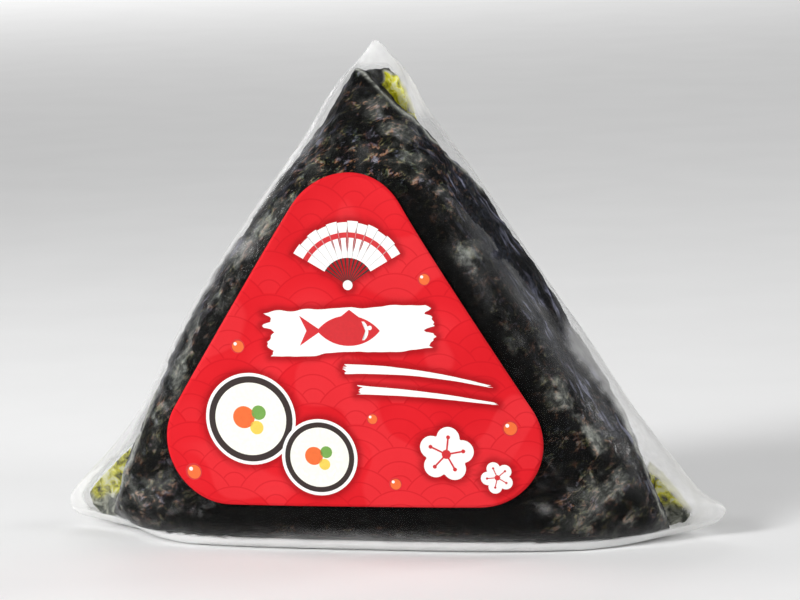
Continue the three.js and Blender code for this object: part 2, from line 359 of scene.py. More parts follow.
class Nodes:
    """Shorthand for building one material's node tree."""

    def __init__(self, name):
        self.material = bpy.data.materials.new(name)
        self.material.use_nodes = True
        self.tree = self.material.node_tree
        self.tree.nodes.clear()
        self.output = self.tree.nodes.new("ShaderNodeOutputMaterial")

    def add(self, kind, inputs=None, **settings):
        node = self.tree.nodes.new(kind)
        for key, value in settings.items():
            setattr(node, key, value)
        for key, value in (inputs or {}).items():
            self.put(node.inputs[key], value)
        return node

    def put(self, socket, value):
        if isinstance(value, bpy.types.NodeSocket):
            self.tree.links.new(value, socket)
        else:
            socket.default_value = value

    def math(self, operation, a, b=0.0, c=0.0, clamp=False):
        node = self.add("ShaderNodeMath", operation=operation, use_clamp=clamp)
        for socket, value in zip(node.inputs, (a, b, c)):
            self.put(socket, value)
        return node.outputs[0]

    def times(self, a, b, clamp=False):
        return self.math("MULTIPLY", a, b, clamp=clamp)

    def mix(self, factor, a, b):
        node = self.add("ShaderNodeMix", data_type="RGBA")
        self.put(node.inputs["Factor"], factor)
        for key, value in (("A", a), ("B", b)):
            socket = next(s for s in node.inputs if s.name == key and s.type == "RGBA")
            self.put(socket, value)
        return next(s for s in node.outputs if s.type == "RGBA")

    def ramp(self, factor, stops):
        node = self.add("ShaderNodeValToRGB", {"Fac": factor})
        elements = node.color_ramp.elements
        while len(elements) < len(stops):
            elements.new(0.5)
        for element, (position, colour) in zip(elements, stops):
            element.position = position
            element.color = (*colour, 1)
        return node.outputs["Color"]

    def remap(self, value, low, high, to_low=0.0, to_high=1.0):
        node = self.add("ShaderNodeMapRange", interpolation_type="SMOOTHSTEP")
        for socket, number in zip(node.inputs, (value, low, high, to_low, to_high)):
            self.put(socket, number)
        return node.outputs["Result"]

    def position(self, stretch=(1, 1, 1), turn=(0, 0, 0), place=None):
        """Places in the pack's frame. What is drawn on them is stretched along the turned axes."""
        place = place or self.add("ShaderNodeTexCoord").outputs["Object"]
        inputs = {"Vector": place, "Scale": stretch, "Rotation": turn}
        return self.add("ShaderNodeMapping", inputs, vector_type="TEXTURE").outputs["Vector"]

    def mirrored(self):
        """Places with both slanted sides brought to the right."""
        place = self.add("ShaderNodeTexCoord").outputs["Object"]
        return self.add("ShaderNodeVectorMath", {0: place}, operation="ABSOLUTE").outputs[0]

    def noise(self, place, scale, detail=3.0, roughness=0.55, distortion=0.0):
        values = {"Vector": place, "Scale": scale, "Detail": detail,
                  "Roughness": roughness, "Distortion": distortion}
        return self.add("ShaderNodeTexNoise", values).outputs["Fac"]

    def pushed(self, place, scale, reach):
        """Places pushed about by a noise, so that what is drawn on them has ragged shapes."""
        noise = self.add("ShaderNodeTexNoise", {"Vector": place, "Scale": scale, "Detail": 3.0})
        inputs = {0: noise.outputs["Color"], 1: (reach, reach, reach), 2: place}
        return self.add("ShaderNodeVectorMath", inputs, operation="MULTIPLY_ADD").outputs[0]

    def bump(self, height, distance, strength=1.0):
        values = {"Height": height, "Distance": distance, "Strength": strength}
        return self.add("ShaderNodeBump", values).outputs["Normal"]

    def principled(self, colour, roughness, normal=None, specular=0.5):
        """A Principled shader. Plain numbers and colours are set on its own sockets."""
        values = {"Base Color": colour, "Roughness": roughness, "Specular IOR Level": specular}
        if normal:
            values["Normal"] = normal
        return self.add("ShaderNodeBsdfPrincipled", values).outputs["BSDF"]

    def mix_shader(self, factor, first, second):
        node = self.add("ShaderNodeMixShader", {0: factor})
        self.tree.links.new(first, node.inputs[1])
        self.tree.links.new(second, node.inputs[2])
        return node.outputs[0]

    def attribute(self, name):
        return self.add("ShaderNodeAttribute", attribute_name=name).outputs["Fac"]

    def finish(self, shader):
        self.tree.links.new(shader, self.output.inputs["Surface"])
        return self.material


# Painted highlight: a soft grey laid over the shoulders
HIGHLIGHT_GREY = (0.35, 0.365, 0.33, 1)
# Painted highlight: pale blue streaks along the sides
STREAK_HIGHLIGHT_BLUE = (0.2, 0.205, 0.285, 1)
# Painted highlight: a pale line along each fold
FOLD_HIGHLIGHT_PALE = (0.46, 0.47, 0.42, 1)


def seaweed_material():
    """Toasted seaweed: near black, flecked brown, olive, violet and grey, with painted light.

    The worn attribute is how mottled it is, partly with painted grey sheen; shine is
    where soft grey highlights are painted; crease is where the sides get a painted blue-grey
    reflection and painted highlight streaks. The fold attribute is 1 on the lines where it is
    folded over, which get a painted pale highlight.
    """
    n = Nodes("seaweed")
    place = n.position()
    worn, shine, crease = n.attribute("worn"), n.attribute("shine"), n.attribute("crease")
    slanted = n.pushed(n.position((1.9, 1, 1), (0, -0.6, 0)), 500, 0.002)
    flakes = n.noise(slanted, 1000, 5, 0.72)
    hue = n.noise(n.pushed(place, 900, 0.002), 420, 2, 0.5)
    cloud = n.noise(place, 190, 3, 0.55)
    fleck = n.noise(place, 2100, 3, 0.6)
    black = n.ramp(fleck, [(0.4, (0.0004, 0.0005, 0.0004)), (0.6, (0.003, 0.0032, 0.003))])
    tint = n.ramp(hue, [(0.3, (0.1, 0.105, 0.16)), (0.4, (0.05, 0.085, 0.025)),
                        (0.46, (0.27, 0.21, 0.07)), (0.5, (0.05, 0.052, 0.06)),
                        (0.55, (0.38, 0.16, 0.055)), (0.62, (0.1, 0.06, 0.1)),
                        (0.7, (0.19, 0.2, 0.25))])
    # Flecks in the seaweed's own colours, partly paled towards grey as painted sheen, where it is
    # mottled
    brighter = n.mix(n.remap(flakes, 0.56, 0.7), tint, n.mix(0.5, tint, (0.5, 0.48, 0.45, 1)))
    share = n.times(n.remap(flakes, 0.51, 0.61), n.remap(cloud, 0.4, 0.58, 0.15, 1.0))
    colour = n.mix(n.times(share, worn, clamp=True), black, brighter)
    # Painted highlight: soft grey clouds where the shine attribute is high
    highlight_clouds = n.math("MULTIPLY_ADD", shine, 0.08, cloud)
    painted_highlight = n.times(n.remap(highlight_clouds, 0.5, 0.68), n.remap(flakes, 0.36, 0.6, 0.25, 1.0))
    colour = n.mix(n.times(painted_highlight, shine, clamp=True), colour, HIGHLIGHT_GREY)
    # Painted reflection: a cool blue-grey cast on the sloping sides
    reflected_navy = n.ramp(fleck, [(0.38, (0.003, 0.004, 0.006)), (0.62, (0.022, 0.025, 0.036))])
    colour = n.mix(n.times(crease, n.remap(cloud, 0.4, 0.6, 0.2, 0.8)), colour, reflected_navy)
    # Painted highlights: pale blue streaks along the sides, where wrinkles would catch the light
    along = n.pushed(n.position((1, 1, 5.5), (0, -SLANT, 0), n.mirrored()), 260, 0.0012)
    broad = n.remap(n.noise(along, 430, 3, 0.6), 0.55, 0.68)
    thin = n.remap(n.noise(along, 1000, 2, 0.5), 0.57, 0.7)
    patches = n.remap(n.noise(place, 150, 3), 0.4, 0.62)
    highlight_streaks = n.times(n.math("MAXIMUM", broad, thin), patches)
    colour = n.mix(n.times(highlight_streaks, crease, clamp=True), colour, STREAK_HIGHLIGHT_BLUE)
    # Painted highlight: a pale line along each fold
    edge = n.times(n.attribute("fold"), n.remap(flakes, 0.35, 0.55, 0.2, 0.9))
    colour = n.mix(edge, colour, FOLD_HIGHLIGHT_PALE)
    roughness = n.remap(fleck, 0.3, 0.75, 0.35, 0.6)
    normal = n.bump(n.math("MULTIPLY_ADD", fleck, 0.35, flakes), 0.0009, 0.8)
    return n.finish(n.principled(colour, roughness, normal, 0.04))


def seaweed_edge_material():
    """A single layer of seaweed with light behind it: yellow-green, speckled dark.

    The lit attribute goes from dark at 0 over pale at 0.5 to yellow-green at 1.
    """
    n = Nodes("seaweed_edge")
    speckle = n.noise(n.position(), 620, 3, 0.6, 0.6)
    green = n.ramp(speckle, [(0.33, (0.03, 0.035, 0.002)), (0.41, (0.42, 0.4, 0.004)),
                             (0.51, (0.9, 0.87, 0.02)), (0.6, (0.96, 0.96, 0.62))])
    pale = n.ramp(speckle, [(0.38, (0.07, 0.08, 0.06)), (0.5, (0.36, 0.37, 0.3)),
                            (0.62, (0.7, 0.7, 0.62))])
    dark = n.ramp(speckle, [(0.42, (0.004, 0.005, 0.004)), (0.62, (0.07, 0.075, 0.07))])
    lit = n.attribute("lit")
    colour = n.mix(n.remap(lit, 0.0, 0.5), dark, pale)
    colour = n.mix(n.remap(lit, 0.5, 1.0), colour, green)
    front = n.principled(colour, 0.5, n.bump(speckle, 0.0005))
    through = n.add("ShaderNodeBsdfTranslucent", {"Color": colour}).outputs[0]
    return n.finish(n.mix_shader(0.35, front, through))


FILM_WHITE = (0.89, 0.89, 0.885, 1)


def film_material():
    """Clear glossy film with a slight haze, which shows most where the film is seen edge-on.

    The haze attribute is how much light one layer scatters when it is seen square on.
    """
    n = Nodes("film")
    place = n.position()
    crinkle = n.noise(n.position((1, 0.6, 1)), 330, 4, 0.6, 0.5)
    fine = n.noise(place, 1400, 2, 0.5)
    normal = n.bump(n.math("MULTIPLY_ADD", fine, 0.15, crinkle), 0.0004, 0.6)
    clear = n.add("ShaderNodeBsdfTransparent").outputs[0]
    gloss = {"Color": (1, 1, 1, 1), "Roughness": 0.16, "Normal": normal}
    mirror = n.add("ShaderNodeBsdfGlossy", gloss).outputs[0]
    fresnel = n.add("ShaderNodeFresnel", {"IOR": 1.1, "Normal": normal}).outputs[0]
    shine = n.mix_shader(n.math("MINIMUM", fresnel, 0.12), clear, mirror)
    milk = n.principled(FILM_WHITE, 0.25, normal)
    through = n.add("ShaderNodeBsdfTranslucent", {"Color": FILM_WHITE}).outputs[0]
    white = n.mix_shader(0.3, milk, through)
    facing = n.add("ShaderNodeLayerWeight", {"Blend": 0.5}).outputs["Facing"]
    squareness = n.math("SUBTRACT", 1.04, facing)
    uneven = n.remap(n.noise(place, 210, 3, 0.5), 0.3, 0.7, 0.75, 1.25)
    thickness = n.math("DIVIDE", n.times(n.attribute("haze"), uneven), squareness)
    passed = n.math("POWER", math.e, n.times(thickness, -1.0))
    return n.finish(n.mix_shader(n.math("SUBTRACT", 1.0, passed, clamp=True), shine, white))


def plain_print(name, colour):
    """One printed ink, with the faint unevenness of print on paper."""
    n = Nodes(name)
    grain = n.noise(n.position(), 2200, 3, 0.6)
    darker = tuple(channel * 0.9 for channel in colour)
    uneven = n.ramp(grain, [(0.3, darker), (0.7, colour)])
    return n.finish(n.principled(uneven, 0.42, n.bump(grain, 0.00003, 0.5)))


SCALE_WIDTH, SCALE_RISE = 13.0, 3.3  # one scale of the wave pattern, and its rows
PAPER_REDS = (0.61, 0.009, 0.015, 1), (0.66, 0.013, 0.02, 1)
PATCH_RED, SCALE_RED = (0.8, 0.06, 0.07, 1), (0.78, 0.045, 0.055, 1)
LINE_RED, GRAIN_RED = (0.48, 0.004, 0.01, 1), (0.62, 0.009, 0.017, 1)
SHADE_RED = (0.22, 0.002, 0.004, 1)


def label_material():
    """Red printed paper with the traditional wave pattern in slightly darker and paler reds."""
    n = Nodes("label_paper")
    place = n.add("ShaderNodeSeparateXYZ", {0: n.add("ShaderNodeTexCoord").outputs["Object"]})
    across = n.times(place.outputs["X"], 1 / MM)
    up = n.times(place.outputs["Z"], 1 / MM)
    radius = SCALE_WIDTH * 0.5
    row = n.math("FLOOR", n.math("DIVIDE", up, SCALE_RISE))
    line, pale, taken = 0.0, 0.0, 0.0
    for step in (-1, 0):  # a scale in a lower row lies over those above it
        this_row = n.math("ADD", row, float(step))
        odd = n.math("MODULO", n.math("ABSOLUTE", this_row), 2.0)
        shifted = n.math("DIVIDE", n.math("MULTIPLY_ADD", odd, radius, across), SCALE_WIDTH)
        column = n.math("ROUND", shifted)
        dx = n.times(n.math("SUBTRACT", shifted, column), SCALE_WIDTH)
        dz = n.math("SUBTRACT", up, n.times(this_row, SCALE_RISE))
        squares = n.math("ADD", n.times(dx, dx), n.times(dz, dz))
        distance = n.math("DIVIDE", n.math("SQRT", squares), radius)
        inside = n.math("LESS_THAN", distance, 1.0)
        third = n.math("FRACT", n.times(distance, 3.0))
        rings = n.math("ABSOLUTE", n.math("SUBTRACT", third, 0.93))
        here = n.times(inside, n.math("SUBTRACT", 1.0, taken))
        mark = n.times(here, n.remap(rings, 0.02, 0.075, 1.0, 0.0))
        cell = n.add("ShaderNodeCombineXYZ", {"X": column, "Y": this_row})
        draw = n.add("ShaderNodeTexWhiteNoise", {"Vector": cell.outputs[0]}).outputs["Value"]
        glow = n.times(n.remap(draw, 0.45, 1.0), n.remap(distance, 0.9, 0.2))
        lit = n.times(here, glow)
        line = n.math("ADD", line, mark)
        pale = n.math("ADD", pale, lit)
        taken = n.math("MAXIMUM", taken, inside)
    broad = n.remap(n.noise(n.position(), 60, 2, 0.5), 0.35, 0.65)
    red = n.mix(broad, *PAPER_REDS)
    patches = n.remap(n.noise(n.position(), 75, 1, 0.5), 0.56, 0.6)
    red = n.mix(n.times(patches, 0.25), red, PATCH_RED)
    red = n.mix(n.times(pale, 0.35), red, SCALE_RED)
    red = n.mix(n.times(line, 0.45), red, LINE_RED)
    grain = n.noise(n.position(), 2600, 3, 0.6)
    red = n.mix(n.remap(grain, 0.3, 0.7, 0.0, 0.08), red, GRAIN_RED)
    red = n.mix(n.times(n.attribute("shade"), 0.6), red, SHADE_RED)
    return n.finish(n.principled(red, 0.6, n.bump(grain, 0.00004, 0.5), 0.08))


# Seaweed

SLANT = math.atan2(FILM["width"] / 2, FILM["height"])


def along_side(points, side):
    """Places measured along a slanted side, in depth, and out from it."""
    x, y, z = points.T
    along = z * math.cos(SLANT) - side * x * math.sin(SLANT)
    outward = side * x * math.cos(SLANT) + z * math.sin(SLANT)
    return np.stack([along, y, outward], 1)


def fold_over(points):
    """Points past a fold's plane are brought back to it. Also returns how near each is to one."""
    line = np.zeros(len(points))
    for direction, reach, slide in SEAWEED_FOLDS.values():
        past = points @ direction - reach
        kept = -FOLD_SOFTNESS * np.logaddexp(0, -past / FOLD_SOFTNESS)
        slide = np.array(slide) / np.dot(slide, direction)
        points = points - (past - kept)[:, None] * slide
        line = np.maximum(line, np.exp(-(((past - 0.1) / 0.35) ** 2)))
    return points, line


def make_seaweed():
    """The seaweed over the rice: lumps, bumps as big as the grains, and creases at the sides."""
    rings = form_grid(SEAWEED, 26, 150, 42, 48)
    points, faces = skin(rings)
    points, folded = fold_over(points)
    normals = point_normals(points, faces)
    x, _, z = points.T
    facing = np.abs(normals[:, 1])
    side_share = 1 - smoothstep(facing, 0.25, 0.75)
    lumps = 0.55 * layered_noise(points, 8.0, 11, 3)
    grains = 0.36 * (1 - smoothstep(cell_distance(points, 3.0, 31), 0.1, 0.75)) - 0.12
    crumple = 0.12 * layered_noise(points, 1.3, 41, 2)
    warp = np.stack([value_noise(points, 9.0, seed) for seed in (51, 52, 53)], 1)
    creases = np.zeros(len(points))
    for side in (-1, 1):
        local = along_side(points, side) * [0.3, 1.0, 1.0] + warp * 1.5
        here = smoothstep(side * normals[:, 0], 0.3, 0.75)
        broad, fine = ridges(local, 4.4, 61 + side, 10), ridges(local, 2.5, 71 + side, 10)
        creases += here * (broad + 0.7 * fine)
    still = smoothstep(z, 1.5, 6.0)
    height = (lumps + grains * (1 - 0.5 * side_share)) * (0.3 + 0.7 * still)
    height = np.minimum(height + crumple + 0.22 * creases, 0.38 + 0.2 * side_share)
    points = points + normals * height[:, None]

    # How mottled the surface is, partly painted sheen; where painted highlights and painted side
    # reflections lie; and where it is folded, for the material
    # Mottling, partly painted sheen: most on the shoulders, none at the base, which faces down into
    # shade
    corner = np.exp(-((z - 4) / 15) ** 2) * smoothstep(np.abs(x), 24, 38)
    top = smoothstep(z, 50, 60)
    rounded = 1 - smoothstep(facing, 0.68, 0.92)
    worn = np.clip(0.02 + 0.9 * rounded * (1 - 0.75 * side_share * (x > 0)) + corner + top, 0, 1)
    worn *= smoothstep(z, 0, 7)
    # Painted highlight: soft grey clouds on the rounded shoulders, more at the faces' lower
    # corners, a little on the back
    shine = rounded * np.where(x > 0, 1 - side_share, 0.75 - 0.4 * side_share)
    shine *= smoothstep(z, 6, 14) * (1 - 0.5 * smoothstep(z, 46, 56))
    lower_corner_highlight = np.exp(-(((np.abs(x) - 41) / 7) ** 2) - ((z - 9) / 9) ** 2) * (1 - side_share)
    shine = np.maximum(shine, 0.8 * lower_corner_highlight)
    back = smoothstep(normals[:, 1], 0.5, 0.9)
    worn, shine = np.maximum(worn, 0.45 * back), np.maximum(shine, 0.2 * back)
    # Where the sloping sides get a painted blue-grey reflection and painted highlight streaks
    crease = side_share * smoothstep(z, 2, 5)
    # Lines along the folds, which get a painted pale highlight
    fold = folded * smoothstep(z, 2, 5)
    piece = make_piece("seaweed_wrap", points, faces, "seaweed",
                       crease=crease, worn=worn, shine=shine, fold=fold)
    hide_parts("film_pack")
    return points


def make_seaweed_tab(name, outline, depth):
    """A single layer that sticks out of the wrap: a thin wavy plate with a torn edge."""
    outline = np.array(outline, float)
    after = np.roll(outline, -1, 0)
    share = np.arange(14)[:, None] / 14
    rim = np.concatenate([a * (1 - share) + b * share for a, b in zip(outline, after)])
    middle = outline.mean(0)
    torn = np.insert(rim, 1, 0, axis=1)
    pull = 1 + 0.03 * value_noise(torn, 0.9, 5) + 0.02 * value_noise(torn, 0.4, 6)
    rim = middle + (rim - middle) * pull[:, None]
    rings = []
    outwards = np.linspace(0.06, 1, 16)
    for front, shares in ((-1, outwards), (1, outwards[::-1])):
        for share in shares:
            flat = middle + (rim - middle) * share
            place = np.insert(flat, 1, 0, axis=1)
            wave = 0.5 * value_noise(place, 3.0, 8) + 0.15 * value_noise(place, 1.0, 9)
            place[:, 1] = depth + wave + front * TAB_HALF_THICKNESS
            rings.append(place)
    points, faces = skin(np.array(rings))
    uneven = 0.8 * value_noise(points, 1.6, 12)
    if name == "apex":
        below_tip = 1 - smoothstep(points[:, 2] + uneven, 71, 72)
        lit = smoothstep(points[:, 0] + uneven, 0.9, 1.7) * below_tip
    else:
        most = 0.5 if name == "right" else 0.36
        lit = 0.5 + most * smoothstep(points[:, 2] + uneven, 3.4, 5.2)
    make_piece("seaweed_tab_" + name, points, faces, "seaweed_edge", lit=lit)
    return points


# Film

# The film's corners: X, Z, and how far from them its pleats and its haze reach
PLEATED_CORNERS = ((-49, 1, 22), (51, 1, 24), (0, 76, 18))
HAZY_CORNERS = ((-49, 2, 15), (50, 2, 17), (0, 76, 14))


def distances(places, targets):
    """How far each place is from the nearest of the targets."""
    tree = KDTree(len(targets))
    for index, target in enumerate(targets):
        tree.insert(target, index)
    tree.balance()
    return np.array([tree.find(place)[2] for place in places])


def make_film(seaweed_points):
    """The clear film: drawn over the seaweed, pleated towards its corners, folded at mid-depth."""
    rings = form_grid(FILM, 24, 120, 34, 30)
    points, faces = skin(rings)
    normals = point_normals(points, faces)
    x, y, z = points.T
    height, wrinkle = np.zeros((2, len(points)))
    warp = np.stack([value_noise(points, 11.0, seed) for seed in (54, 55, 56)], 1)
    for side in (-1, 1):
        local = along_side(points, side) * [0.2, 1.0, 1.0] + warp * 1.3
        here = smoothstep(side * normals[:, 0], 0.2, 0.7)
        lines = here * ridges(local, 5.2, 91 + side, 14)
        wrinkle += lines
        height += 0.14 * lines - 0.03 * here
    for corner_x, corner_z, reach in PLEATED_CORNERS:
        away = np.hypot(x - corner_x, z - corner_z)
        angle = np.arctan2(z - corner_z, x - corner_x)
        polar = np.stack([angle * 13, away * 0.1, y * 0.35], 1)
        near = smoothstep(away, 1.5, 6) * (1 - smoothstep(away, reach * 0.45, reach))
        pleat = value_noise(polar, 1.0, 97)
        height += 0.08 * pleat * near
        wrinkle += 0.6 * near * (1 - np.abs(pleat)) ** 8
    height *= smoothstep(z, 0.2, 3.0)
    points = points + normals * height[:, None]
    points[:, 2] = np.maximum(points[:, 2], 0.0)

    # The haze: most where the film is gathered in a corner or stands off what it wraps
    in_plane = np.array([1, 0, 1])
    gap = distances(points, seaweed_points)
    flat_gap = distances(points * in_plane, seaweed_points * in_plane)
    cornered = np.zeros(len(points))
    for corner_x, corner_z, reach in HAZY_CORNERS:
        away = np.hypot(x - corner_x, z - corner_z) / reach
        cornered = np.maximum(cornered, np.exp(-(away ** 4)))
    lifted = z - sum(1.2 * np.exp(-((x - tip) ** 2 + z ** 2) / 9 ** 2) for tip in (-51, 53))
    sole = 1 - smoothstep(lifted, 1.0, 1.5)
    veil = (1 - smoothstep(z, 0.8, 4.8)) ** 1.5
    facing = np.abs(normals[:, 1])
    off_face = 1 - smoothstep(facing, 0.8, 0.97)
    cloud = smoothstep(layered_noise(points, 9.0, 77), 0.1, 1.2) * off_face
    edge_on = 1 - smoothstep(facing, 0.3, 0.6)
    front_right = smoothstep(x, 0, 8) * (1 - smoothstep(y, 5, 10))
    shoulder = smoothstep(np.abs(y), 4, 7.5) * edge_on * (1 - 0.9 * front_right)
    loose = smoothstep(gap, 1.3, 2.0) * (0.15 + 0.15 * edge_on)
    stands_off = 0.28 * shoulder + loose
    beyond = smoothstep(flat_gap, 0.25, 1.0)
    corner_haze = (0.75 - 0.25 * smoothstep(z, 60, 70)) * beyond * (1 - 0.5 * edge_on)
    flat_side = (1 - smoothstep(facing, 0.08, 0.3)) * np.where(x < 0, 0.65, 0.4)
    between = (stands_off + (0.4 + 0.3 * smoothstep(z, 40, 60)) * beyond) * (1 - flat_side)
    haze = 0.002 + (1 - cornered) * between + cornered * corner_haze
    haze += 4 * sole + 0.06 * veil + 0.05 * cloud + 0.03 * wrinkle
    piece = make_piece("film_wrapper", points, faces, "film", haze=haze)
    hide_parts("film_pack")


# Label print

INK_COLOURS = {
    "white": (0.92, 0.91, 0.89),
    "rice": (0.92, 0.91, 0.80),
    "red": (0.6, 0.009, 0.015),
    "brown": (0.02, 0.008, 0.006),
    "orange": (0.83, 0.14, 0.02),
    "green": (0.16, 0.36, 0.06),
    "yellow": (0.84, 0.6, 0.08),
    "grey": (0.5, 0.48, 0.47),
}
PAPER_FRONT = LABEL_GAP + LABEL_THICKNESS - 0.1  # out from the face, leaving room for the inks
INK_STEP = 0.015


def on_label(across, up, layer=0):
    """Places on the label's paper, or on a layer of ink over it, as X, Y, Z."""
    rise = up - LABEL_MIDDLE
    turn_cos, turn_sin = math.cos(LABEL_TURN), math.sin(LABEL_TURN)
    x = across * turn_cos - rise * turn_sin + LABEL_OFF_CENTRE
    z = across * turn_sin + rise * turn_cos + LABEL_MIDDLE
    y = -(FILM["depth"] / 2 + crown(FILM, x, z)) * depth_left(FILM, x, z)
    return np.stack([x, y - PAPER_FRONT - INK_STEP * layer, z], -1)


def make_label(printed):
    """The paper, closed all round, with a soft shade on it round the printed shapes."""
    base_half_angle = (math.pi / 2 - LABEL_HALF_ANGLE) / 2
    half_base = LABEL_WIDTH / 2 + LABEL_RADIUS * (1 / math.tan(base_half_angle) - 1)
    top = LABEL_BOTTOM + LABEL_HEIGHT + LABEL_RADIUS * (1 / math.sin(LABEL_HALF_ANGLE) - 1)
    triangle = np.array([(-half_base, LABEL_BOTTOM), (half_base, LABEL_BOTTOM), (0, top)])
    to_base = LABEL_MIDDLE - LABEL_BOTTOM
    to_slant = inward_normals(triangle)[1] @ (np.array([0, LABEL_MIDDLE]) - triangle[1])
    shares = np.linspace(0, 1, 46)[:-1]
    rings = []
    for out, order in ((0.0, shares[::-1]), (PAPER_FRONT - LABEL_GAP, shares)):
        for share in order:
            insets = np.array([to_base, to_slant, to_slant]) * share
            radii = [LABEL_RADIUS * (1 - share)] * 3
            flat, _ = rounded_outline(triangle, insets, radii, 26, 70)
            rings.append(on_label(flat[:, 0], flat[:, 1]) + np.array([0, out, 0]))
    points, faces = skin(np.array(rings))
    shade = np.exp(-((distances(points, printed) - 0.25).clip(0) / 0.6) ** 2)
    piece = make_piece("label_sheet", points, faces, "label_paper", shade=shade)
    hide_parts("label")


def print_piece(name, places, face_sets, ink, layer):
    """A piece of ink from places across and up the label."""
    across, up = np.array(places).T
    points = on_label(across, up, layer)
    make_piece("print_" + name, points, face_sets, "label_paper", ink)
    return points


def print_shapes(name, outlines, ink, layer):
    """Flat printed shapes, each the fan of its outline round its middle, laid on the label."""
    places, quads, fans = [], [], []
    shares = (0.34, 0.67, 1.0)
    for outline in outlines:
        outline = np.array(outline, float)
        middle, count, first = outline.mean(0), len(outline), len(places)
        places.append(middle)
        places += [middle + (point - middle) * share for share in shares for point in outline]
        near = first + 1 + np.arange(count)
        after = np.roll(near, -1)
        fans.append(np.stack([np.full(count, first), near, after], 1))
        for ring in range(len(shares) - 1):
            low, high = ring * count, (ring + 1) * count
            quads.append(np.stack([near + low, near + high, after + high, after + low], 1))
    return print_piece(name, places, (np.concatenate(quads), np.concatenate(fans)), ink, layer)


def print_strokes(name, strokes, ink, layer):
    """Printed brush strokes, each a grid of places as rows along it."""
    places, quads = [], []
    for stroke in strokes:
        rows, columns = stroke.shape[:2]
        row, column = np.meshgrid(np.arange(rows - 1), np.arange(columns - 1), indexing="ij")
        corner = (len(places) + row * columns + column).ravel()
        quads.append(np.stack([corner, corner + 1, corner + columns + 1, corner + columns], 1))
        places += list(stroke.reshape(-1, 2))
    return print_piece(name, places, (np.concatenate(quads),), ink, layer)


def arc(centre, radius, start, end, count):
    angles = np.radians(np.linspace(start, end, count))
    return np.stack([centre[0] + radius * np.cos(angles), centre[1] + radius * np.sin(angles)], 1)


def disc(centre, radius, count=40):
    return arc(centre, radius, 0, 360, count + 1)[:-1]


def sector(centre, inner, outer, start, end, count):
    """The outline between two radii and two angles."""
    back = arc(centre, outer, end, start, count)
    return np.concatenate([arc(centre, inner, start, end, count), back])


def brush_stroke(start, end, width, seed, tail=0.0, bow=0.0, ragged=0.9):
    """A stroke from start to end with ragged ends, tapering by tail and bowed upwards."""
    start, end = np.array(start, float), np.array(end, float)
    length = np.linalg.norm(end - start)
    along = (end - start) / length
    across = np.array([-along[1], along[0]])
    rows, columns = 25, 61
    side = np.linspace(-1, 1, rows)[:, None]
    share = np.linspace(0, 1, columns)[None, :]
    keys = np.outer(side * 5, (1, 0, 0))
    head = ragged * layered_noise(keys, 1.0, seed, 2)[:, None]
    foot = ragged * layered_noise(keys, 1.0, seed + 5, 2)[:, None]
    distance = head + (length + foot - head) * share
    keys = np.outer(share * length, (1, 0, 0))
    upper = value_noise(keys, 2.2, seed + 10) * 0.07
    lower = value_noise(keys, 2.2, seed + 20) * 0.07
    half = width / 2 * (1 - tail * share)
    half = half * (1 + np.where(side > 0, upper, lower))
    offset = side * half + bow * np.sin(np.pi * share)
    return start + distance[..., None] * along + offset[..., None] * across


def make_fan_print():
    """A white folding fan with a red band, near the top of the label."""
    pivot, spread, blades = (0.3, 40.9), 60.0, 12
    inner, outer, fold_half = 4.1, 9.4, 0.35
    leaf, folds, ribs, bands = [], [], [], []
    edges = np.linspace(90 - spread, 90 + spread, blades + 1)
    for k, (start, end) in enumerate(zip(edges, edges[1:])):
        leaf.append(sector(pivot, inner, outer + 0.2 * (k % 2), start, end, 4))
        bands.append(sector(pivot, 7.1, 7.9, start, end, 4))
        middle = (start + end) / 2
        tip = arc(pivot, 4.3, middle + 2, middle - 2, 3)
        ribs.append(np.concatenate([arc(pivot, 0.35, start, end, 3), tip]))
    for angle in edges[1:-1]:
        folds.append(sector(pivot, inner, outer, angle - fold_half, angle + fold_half, 3))
    return [
        print_shapes("fan_ribs", ribs, "brown", 1),
        print_shapes("fan_leaf", leaf, "white", 2),
        print_shapes("fan_band", bands, "red", 3),
        print_shapes("fan_folds", folds, "grey", 4),
        print_shapes("fan_pivot", [disc(pivot, 0.75, 20)], "white", 4),
    ]


def make_fish_print():
    """A white brushed panel with a plain red fish on it."""
    middle = np.array([0.2, 34.0])
    body = np.concatenate([arc(middle - [0, 4.0], 6.3, 40, 140, 24),
                           arc(middle + [0, 4.0], 6.3, 220, 320, 24)])
    tail = middle + np.array([(-4.2, 0.0), (-7.6, 2.3), (-6.5, 0.0), (-7.6, -2.3)])
    fin = middle + np.array([(-1.2, 2.1), (0.2, 3.2), (1.9, 1.9)])
    gill = np.concatenate([arc(middle + [1.2, 0], 1.9, -48, 48, 8),
                           arc(middle + [0.8, 0], 1.9, 48, -48, 8)])
    eye = disc(middle + [3.3, 0.45], 0.34, 16)
    panel = brush_stroke((-12.2, 33.4), (12.6, 34.7), 6.8, 3)
    return [
        print_strokes("panel", [panel], "white", 1),
        print_shapes("fish", [body, tail, fin], "red", 2),
        print_shapes("fish_marks", [gill, eye], "white", 3),
    ]


